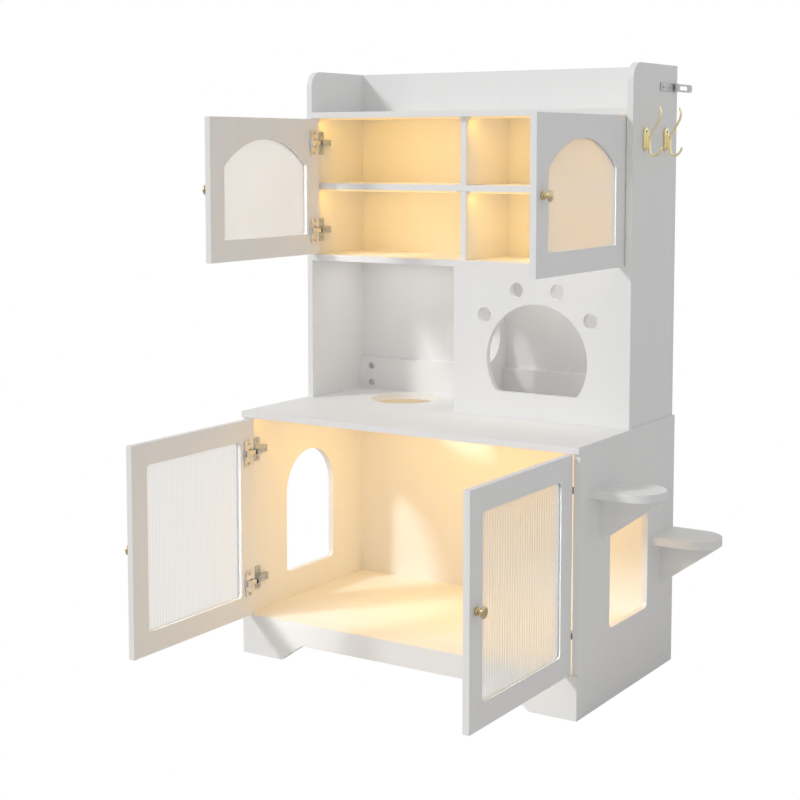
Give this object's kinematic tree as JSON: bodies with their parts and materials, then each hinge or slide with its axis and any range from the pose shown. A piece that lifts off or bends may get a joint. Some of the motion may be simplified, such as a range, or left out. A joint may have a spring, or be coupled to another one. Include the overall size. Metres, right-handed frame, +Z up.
{
  "type": "cat litter cabinet",
  "caption": "Tall white cat litter cabinet: lower doors with fluted panes, arched side cat doors, a paw-shaped cat house, upper doors, climbing steps, coat hooks and a folding wall bracket.",
  "frame": {"origin": "middle of the cabinet's back at floor level", "axes": "+X to the right seen from the front, +Y to the back, +Z up"},
  "size_m": [1.0489, 1.0189, 1.412],
  "materials": {
    "white_laminate": "matt white laminate on board",
    "milky_pane": "glossy milky sheet",
    "fluted_pane": "clear sheet with vertical flutes",
    "satin_brass": "satin",
    "nickel_plate": "nickel plated",
    "light_strip": "warm diffuser"
  },
  "bodies": {
    "root": {"countertop": "white_laminate", "base_bottom_board": "white_laminate", "base_side_left": "white_laminate", "base_side_right": "white_laminate", "base_back_panel": "white_laminate", "plinth_front": "white_laminate", "plinth_left": "white_laminate", "plinth_right": "white_laminate", "plinth_back": "white_laminate", "step_front_shelf": "white_laminate", "step_front_gusset": "white_laminate", "step_back_shelf": "white_laminate", "step_back_gusset": "white_laminate", "hutch_side_left": "white_laminate", "hutch_side_right": "white_laminate", "hutch_back_panel": "white_laminate", "hutch_top_board": "white_laminate", "hutch_bottom_board": "white_laminate", "shelf": "white_laminate", "divider": "white_laminate", "paw_panel": "white_laminate", "partition": "white_laminate", "back_rail": "white_laminate", "hinge_lower_left_bottom_arm": "nickel_plate", "hinge_lower_left_top_arm": "nickel_plate", "hinge_lower_right_bottom_arm": "nickel_plate", "hinge_lower_right_top_arm": "nickel_plate", "hinge_upper_left_bottom_arm": "nickel_plate", "hinge_upper_left_top_arm": "nickel_plate", "hinge_upper_right_bottom_arm": "nickel_plate", "hinge_upper_right_top_arm": "nickel_plate", "hook_front": "satin_brass", "hook_back": "satin_brass", "wall_bracket_plate": "nickel_plate", "led_upper_left": "light_strip", "led_upper_right": "light_strip", "led_shelf_left": "light_strip", "led_shelf_right": "light_strip", "led_base": "light_strip"},
    "door_lower_left": {"door_lower_left_frame": "white_laminate", "door_lower_left_pane": "fluted_pane", "door_lower_left_knob": "satin_brass", "hinge_lower_left_bottom_cup": "nickel_plate", "hinge_lower_left_top_cup": "nickel_plate"},
    "door_lower_right": {"door_lower_right_frame": "white_laminate", "door_lower_right_pane": "fluted_pane", "door_lower_right_knob": "satin_brass", "hinge_lower_right_bottom_cup": "nickel_plate", "hinge_lower_right_top_cup": "nickel_plate"},
    "door_upper_left": {"door_upper_left_frame": "white_laminate", "door_upper_left_pane": "milky_pane", "door_upper_left_knob": "satin_brass", "hinge_upper_left_bottom_cup": "nickel_plate", "hinge_upper_left_top_cup": "nickel_plate"},
    "door_upper_right": {"door_upper_right_frame": "white_laminate", "door_upper_right_pane": "milky_pane", "door_upper_right_knob": "satin_brass", "hinge_upper_right_bottom_cup": "nickel_plate", "hinge_upper_right_top_cup": "nickel_plate"},
    "wall_bracket_tongue": {"wall_bracket_tongue": "nickel_plate"}
  },
  "joints": [
    {"name": "door_lower_left_hinge", "type": "hinge", "parent": "root", "child": "door_lower_left", "pos_m": [-0.4305, -0.5055, 0.3375], "axis": [0, 0, 1], "range_deg": [-10, 90]},
    {"name": "door_lower_right_hinge", "type": "hinge", "parent": "root", "child": "door_lower_right", "pos_m": [0.4305, -0.5055, 0.3375], "axis": [0, 0, 1], "range_deg": [-90, 10]},
    {"name": "door_upper_left_hinge", "type": "hinge", "parent": "root", "child": "door_upper_left", "pos_m": [-0.424, -0.2405, 1.12625], "axis": [0, 0, 1], "range_deg": [-10, 90]},
    {"name": "door_upper_right_hinge", "type": "hinge", "parent": "root", "child": "door_upper_right", "pos_m": [0.424, -0.2405, 1.12625], "axis": [0, 0, 1], "range_deg": [-90, 10]},
    {"name": "wall_bracket_hinge", "type": "hinge", "parent": "root", "child": "wall_bracket_tongue", "pos_m": [0.4493, -0.019, 1.3615], "axis": [0, 0, 1], "range_deg": [-170, 0]}
  ]
}
